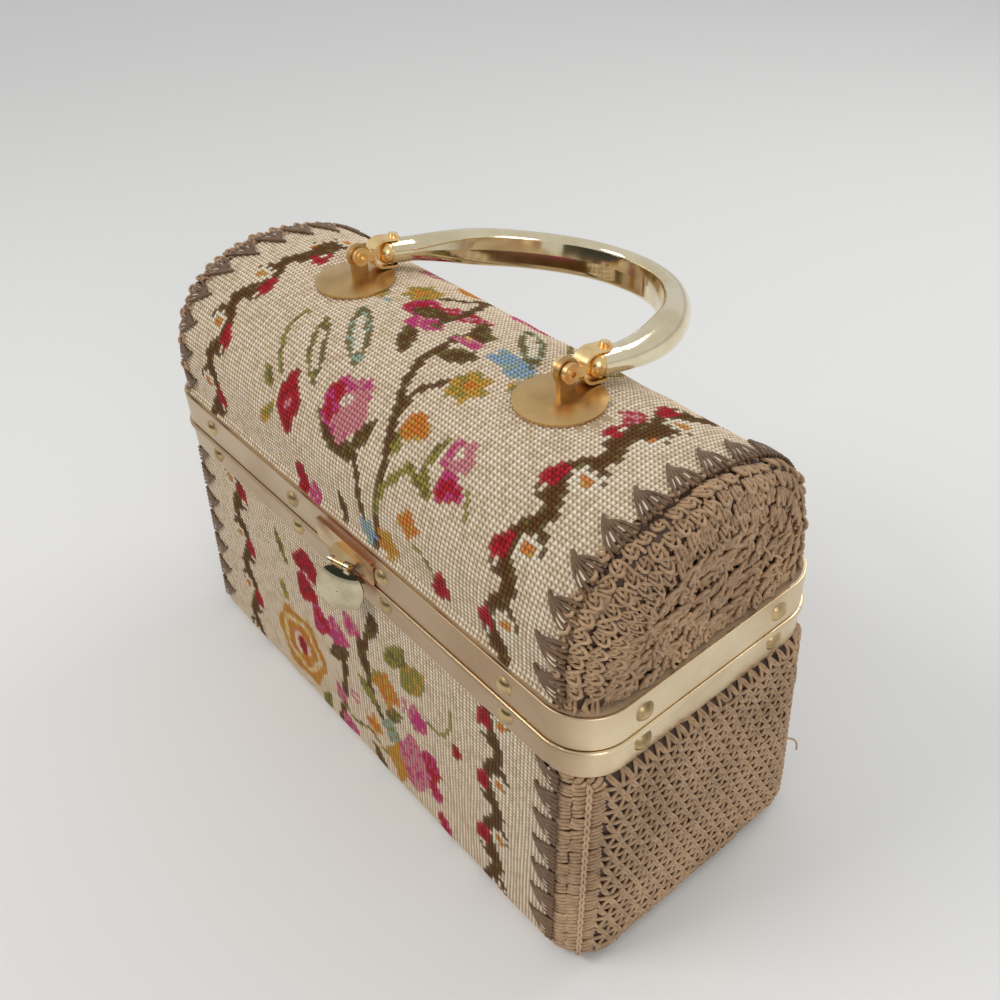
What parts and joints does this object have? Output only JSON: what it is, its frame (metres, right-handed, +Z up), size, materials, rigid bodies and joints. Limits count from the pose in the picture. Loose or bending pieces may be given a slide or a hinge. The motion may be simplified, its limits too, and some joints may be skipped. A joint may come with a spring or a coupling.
{
  "type": "tapestry handbag",
  "caption": "Box handbag with a domed lid in floral tapestry, crocheted ends, riveted gold bands, a hinged gold handle and a disc clasp.",
  "frame": {"origin": "centre of the bag's bottom face, on the floor", "axes": "+X along the bag towards its right end as seen from the front, -Y out of the front where the clasp is, +Z up"},
  "size_m": [0.2788, 0.1757, 0.198],
  "materials": {
    "tapestry": "matte woven stitches",
    "crochet": "matte cord loops",
    "bottom_cloth": "matte plain weave",
    "lining": "soft satin weave",
    "stiff_board": "plain pressed board",
    "pale_gold": "satin, lightly worn",
    "rivet_brass": "satin",
    "polished_gold": "polished",
    "plate_brass": "fine brushed",
    "hinge_brass": "satin",
    "coppered_brass": "satin, tarnished towards copper",
    "spring_steel": "dull"
  },
  "bodies": {
    "box": {"base_shell": "stiff_board", "base_lining": "lining", "base_front_tapestry": "tapestry", "base_back_tapestry": "tapestry", "base_bottom_cloth": "bottom_cloth", "base_crochet_left": "crochet", "base_crochet_right": "crochet", "base_band": "pale_gold", "base_rivets": "rivet_brass", "clasp_stud": "pale_gold", "hinge_lower_leaf_left": "hinge_brass", "hinge_lower_leaf_right": "hinge_brass", "hinge_pin_left": "hinge_brass", "hinge_pin_right": "hinge_brass"},
    "lid": {"lid_shell": "stiff_board", "lid_lining": "lining", "lid_tapestry": "tapestry", "lid_crochet_left": "crochet", "lid_crochet_right": "crochet", "lid_band": "pale_gold", "lid_rivets": "rivet_brass", "hinge_upper_leaf_left": "hinge_brass", "hinge_upper_leaf_right": "hinge_brass", "handle_plate_left": "plate_brass", "handle_plate_right": "plate_brass", "plate_washers": "hinge_brass", "plate_nuts": "hinge_brass", "hasp_plate": "coppered_brass", "hasp_pin": "coppered_brass"},
    "handle": {"handle_tube": "polished_gold", "tube_plug_left": "plate_brass", "tube_plug_right": "plate_brass", "clevis_left": "plate_brass", "clevis_right": "plate_brass", "cross_pin_left": "hinge_brass", "cross_pin_right": "hinge_brass", "handle_pin_left": "plate_brass", "handle_pin_right": "plate_brass"},
    "clasp": {"clasp_disc": "polished_gold", "clasp_spring": "spring_steel", "clasp_disc_rivet": "hinge_brass"}
  },
  "joints": [
    {"name": "lid_hinge", "type": "hinge", "parent": "box", "child": "lid", "pos_m": [0, 0.05985, 0.1135], "axis": [-1, 0, 0], "range_deg": [0, 100]},
    {"name": "handle_swing", "type": "hinge", "parent": "lid", "child": "handle", "pos_m": [0, 0.0042, 0.1933], "axis": [1, 0, 0], "range_deg": [0, 192]},
    {"name": "clasp_hinge", "type": "hinge", "parent": "lid", "child": "clasp", "pos_m": [0.0099, -0.0622, 0.1168], "axis": [-0.9703, -0.2419, 0], "range_deg": [0, 100]}
  ]
}
